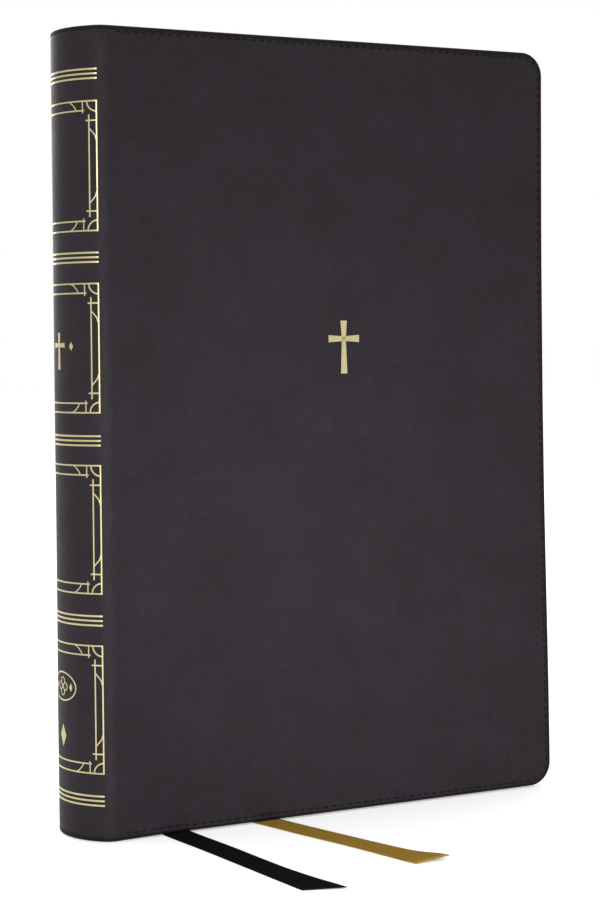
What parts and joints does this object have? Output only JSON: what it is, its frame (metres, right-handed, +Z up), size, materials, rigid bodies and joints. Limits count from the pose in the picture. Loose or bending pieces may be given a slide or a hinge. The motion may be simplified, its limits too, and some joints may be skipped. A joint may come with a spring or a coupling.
{
  "type": "bible",
  "caption": "Sewn bible with a flexible leather-look cover, rounded gilt-ruled spine, rounded fore-edge corners and two marker ribbons.",
  "frame": {"origin": "under the middle of the closed book, on the surface that it stands on", "axes": "+Z up from tail to head, +X from the spine to the fore-edge, -Y out of the front cover"},
  "size_m": [0.165, 0.1144, 0.241],
  "materials": {
    "cover_leather": "black bonded leather, fine grain, matte with a soft sheen",
    "cover_board": "flexible grey board",
    "cover_thread": "black waxed sewing thread",
    "gilt_foil": "pale gold stamping foil, slightly worn",
    "endpaper": "black endpaper, matte",
    "page_paper": "thin cream bible paper with gilt edges",
    "gilt_edge": "burnished gilt page edge",
    "lining_paper": "brown kraft paper",
    "mull_cloth": "open starched cotton mull",
    "sewing_thread": "natural linen thread",
    "headband_silk": "black and gold woven band",
    "black_satin": "black satin ribbon",
    "gold_satin": "old gold satin ribbon"
  },
  "bodies": {
    "root": {"spine_skin": "cover_leather", "spine_inlay": "cover_board", "hollow_tube": "lining_paper", "mull": "mull_cloth", "spine_lining": "lining_paper", "sewing_thread": "sewing_thread", "headband": "headband_silk", "tailband": "headband_silk", "black_ribbon_run": "black_satin", "gold_ribbon_run": "gold_satin", "black_ribbon_tail": "black_satin", "gold_ribbon_tail": "gold_satin"},
    "front_cover": {"front_cover_skin": "cover_leather", "front_cover_board": "cover_board", "front_cover_stitching": "cover_thread", "front_pastedown": "endpaper"},
    "back_cover": {"back_cover_skin": "cover_leather", "back_cover_board": "cover_board", "back_cover_stitching": "cover_thread", "back_pastedown": "endpaper"},
    "front_flyleaf": {"front_flyleaf": "endpaper"},
    "back_flyleaf": {"back_flyleaf": "endpaper"},
    "signature_01": {"signature_01": "page_paper"},
    "signature_24": {"signature_24": "page_paper"},
    "signature_02": {"signature_02": "page_paper"},
    "signature_23": {"signature_23": "page_paper"},
    "signature_03": {"signature_03": "page_paper"},
    "signature_22": {"signature_22": "page_paper"},
    "signature_04": {"signature_04": "page_paper"},
    "signature_21": {"signature_21": "page_paper"},
    "signature_05": {"signature_05": "page_paper"},
    "signature_20": {"signature_20": "page_paper"},
    "signature_06": {"signature_06": "page_paper"},
    "signature_19": {"signature_19": "page_paper"},
    "signature_07": {"signature_07": "page_paper"},
    "signature_18": {"signature_18": "page_paper"},
    "signature_08": {"signature_08": "page_paper"},
    "signature_17": {"signature_17": "page_paper"},
    "signature_09": {"signature_09": "page_paper"},
    "signature_16": {"signature_16": "page_paper"},
    "signature_10": {"signature_10": "page_paper"},
    "signature_15": {"signature_15": "page_paper"},
    "signature_11": {"signature_11": "page_paper"},
    "signature_14": {"signature_14": "page_paper"},
    "signature_12": {"signature_12": "page_paper"},
    "signature_13": {"signature_13": "page_paper"}
  },
  "joints": [
    {"name": "front_cover_open", "type": "hinge", "parent": "root", "child": "front_cover", "pos_m": [-0.07577, -0.01488, 0.1205], "axis": [0, 0, -1], "range_deg": [0, 170]},
    {"name": "back_cover_open", "type": "hinge", "parent": "root", "child": "back_cover", "pos_m": [-0.07577, 0.01488, 0.1205], "axis": [0, 0, 1], "range_deg": [0, 170]},
    {"name": "front_flyleaf_turn", "type": "hinge", "parent": "root", "child": "front_flyleaf", "pos_m": [-0.07434, -0.01345, 0.1205], "axis": [0, 0, -1], "range_deg": [0, 118.2]},
    {"name": "back_flyleaf_turn", "type": "hinge", "parent": "root", "child": "back_flyleaf", "pos_m": [-0.07434, 0.01345, 0.1205], "axis": [0, 0, 1], "range_deg": [0, 118.2]},
    {"name": "signature_01_turn", "type": "hinge", "parent": "root", "child": "signature_01", "pos_m": [-0.07411, -0.01266, 0.1205], "axis": [0, 0, -1], "range_deg": [0, 72.2]},
    {"name": "signature_24_turn", "type": "hinge", "parent": "root", "child": "signature_24", "pos_m": [-0.07411, 0.01266, 0.1205], "axis": [0, 0, 1], "range_deg": [0, 72.2]},
    {"name": "signature_02_turn", "type": "hinge", "parent": "root", "child": "signature_02", "pos_m": [-0.07432, -0.01159, 0.1205], "axis": [0, 0, -1], "range_deg": [0, 65.93]},
    {"name": "signature_23_turn", "type": "hinge", "parent": "root", "child": "signature_23", "pos_m": [-0.07432, 0.01159, 0.1205], "axis": [0, 0, 1], "range_deg": [0, 65.93]},
    {"name": "signature_03_turn", "type": "hinge", "parent": "root", "child": "signature_03", "pos_m": [-0.07451, -0.01052, 0.1205], "axis": [0, 0, -1], "range_deg": [0, 59.65]},
    {"name": "signature_22_turn", "type": "hinge", "parent": "root", "child": "signature_22", "pos_m": [-0.07451, 0.01052, 0.1205], "axis": [0, 0, 1], "range_deg": [0, 59.65]},
    {"name": "signature_04_turn", "type": "hinge", "parent": "root", "child": "signature_04", "pos_m": [-0.07469, -0.00945, 0.1205], "axis": [0, 0, -1], "range_deg": [0, 53.38]},
    {"name": "signature_21_turn", "type": "hinge", "parent": "root", "child": "signature_21", "pos_m": [-0.07469, 0.00945, 0.1205], "axis": [0, 0, 1], "range_deg": [0, 53.38]},
    {"name": "signature_05_turn", "type": "hinge", "parent": "root", "child": "signature_05", "pos_m": [-0.07484, -0.00838, 0.1205], "axis": [0, 0, -1], "range_deg": [0, 47.11]},
    {"name": "signature_20_turn", "type": "hinge", "parent": "root", "child": "signature_20", "pos_m": [-0.07484, 0.00838, 0.1205], "axis": [0, 0, 1], "range_deg": [0, 47.11]},
    {"name": "signature_06_turn", "type": "hinge", "parent": "root", "child": "signature_06", "pos_m": [-0.07497, -0.00731, 0.1205], "axis": [0, 0, -1], "range_deg": [0, 40.84]},
    {"name": "signature_19_turn", "type": "hinge", "parent": "root", "child": "signature_19", "pos_m": [-0.07497, 0.00731, 0.1205], "axis": [0, 0, 1], "range_deg": [0, 40.84]},
    {"name": "signature_07_turn", "type": "hinge", "parent": "root", "child": "signature_07", "pos_m": [-0.07509, -0.00624, 0.1205], "axis": [0, 0, -1], "range_deg": [0, 34.56]},
    {"name": "signature_18_turn", "type": "hinge", "parent": "root", "child": "signature_18", "pos_m": [-0.07509, 0.00624, 0.1205], "axis": [0, 0, 1], "range_deg": [0, 34.56]},
    {"name": "signature_08_turn", "type": "hinge", "parent": "root", "child": "signature_08", "pos_m": [-0.07519, -0.00517, 0.1205], "axis": [0, 0, -1], "range_deg": [0, 28.29]},
    {"name": "signature_17_turn", "type": "hinge", "parent": "root", "child": "signature_17", "pos_m": [-0.07519, 0.00517, 0.1205], "axis": [0, 0, 1], "range_deg": [0, 28.29]},
    {"name": "signature_09_turn", "type": "hinge", "parent": "root", "child": "signature_09", "pos_m": [-0.07527, -0.0041, 0.1205], "axis": [0, 0, -1], "range_deg": [0, 22.02]},
    {"name": "signature_16_turn", "type": "hinge", "parent": "root", "child": "signature_16", "pos_m": [-0.07527, 0.0041, 0.1205], "axis": [0, 0, 1], "range_deg": [0, 22.02]},
    {"name": "signature_10_turn", "type": "hinge", "parent": "root", "child": "signature_10", "pos_m": [-0.07533, -0.00303, 0.1205], "axis": [0, 0, -1], "range_deg": [0, 15.75]},
    {"name": "signature_15_turn", "type": "hinge", "parent": "root", "child": "signature_15", "pos_m": [-0.07533, 0.00303, 0.1205], "axis": [0, 0, 1], "range_deg": [0, 15.75]},
    {"name": "signature_11_turn", "type": "hinge", "parent": "root", "child": "signature_11", "pos_m": [-0.07537, -0.00196, 0.1205], "axis": [0, 0, -1], "range_deg": [0, 9.47]},
    {"name": "signature_14_turn", "type": "hinge", "parent": "root", "child": "signature_14", "pos_m": [-0.07537, 0.00196, 0.1205], "axis": [0, 0, 1], "range_deg": [0, 9.47]},
    {"name": "signature_12_turn", "type": "hinge", "parent": "root", "child": "signature_12", "pos_m": [-0.07539, -0.00089, 0.1205], "axis": [0, 0, -1], "range_deg": [0, 3.2]},
    {"name": "signature_13_turn", "type": "hinge", "parent": "root", "child": "signature_13", "pos_m": [-0.07539, 0.00089, 0.1205], "axis": [0, 0, 1], "range_deg": [0, 3.2]}
  ],
  "couplings": [
    {"joint": "front_flyleaf_turn", "follows": "front_cover_open", "ratio": 0.6941},
    {"joint": "back_flyleaf_turn", "follows": "back_cover_open", "ratio": 0.6941},
    {"joint": "signature_01_turn", "follows": "front_cover_open", "ratio": 0.4235},
    {"joint": "signature_24_turn", "follows": "back_cover_open", "ratio": 0.4235},
    {"joint": "signature_02_turn", "follows": "front_cover_open", "ratio": 0.3866},
    {"joint": "signature_23_turn", "follows": "back_cover_open", "ratio": 0.3866},
    {"joint": "signature_03_turn", "follows": "front_cover_open", "ratio": 0.3497},
    {"joint": "signature_22_turn", "follows": "back_cover_open", "ratio": 0.3497},
    {"joint": "signature_04_turn", "follows": "front_cover_open", "ratio": 0.3128},
    {"joint": "signature_21_turn", "follows": "back_cover_open", "ratio": 0.3128},
    {"joint": "signature_05_turn", "follows": "front_cover_open", "ratio": 0.2759},
    {"joint": "signature_20_turn", "follows": "back_cover_open", "ratio": 0.2759},
    {"joint": "signature_06_turn", "follows": "front_cover_open", "ratio": 0.239},
    {"joint": "signature_19_turn", "follows": "back_cover_open", "ratio": 0.239},
    {"joint": "signature_07_turn", "follows": "front_cover_open", "ratio": 0.2021},
    {"joint": "signature_18_turn", "follows": "back_cover_open", "ratio": 0.2021},
    {"joint": "signature_08_turn", "follows": "front_cover_open", "ratio": 0.1652},
    {"joint": "signature_17_turn", "follows": "back_cover_open", "ratio": 0.1652},
    {"joint": "signature_09_turn", "follows": "front_cover_open", "ratio": 0.1283},
    {"joint": "signature_16_turn", "follows": "back_cover_open", "ratio": 0.1283},
    {"joint": "signature_10_turn", "follows": "front_cover_open", "ratio": 0.0914},
    {"joint": "signature_15_turn", "follows": "back_cover_open", "ratio": 0.0914},
    {"joint": "signature_11_turn", "follows": "front_cover_open", "ratio": 0.0545},
    {"joint": "signature_14_turn", "follows": "back_cover_open", "ratio": 0.0545},
    {"joint": "signature_12_turn", "follows": "front_cover_open", "ratio": 0.0176},
    {"joint": "signature_13_turn", "follows": "back_cover_open", "ratio": 0.0176}
  ]
}
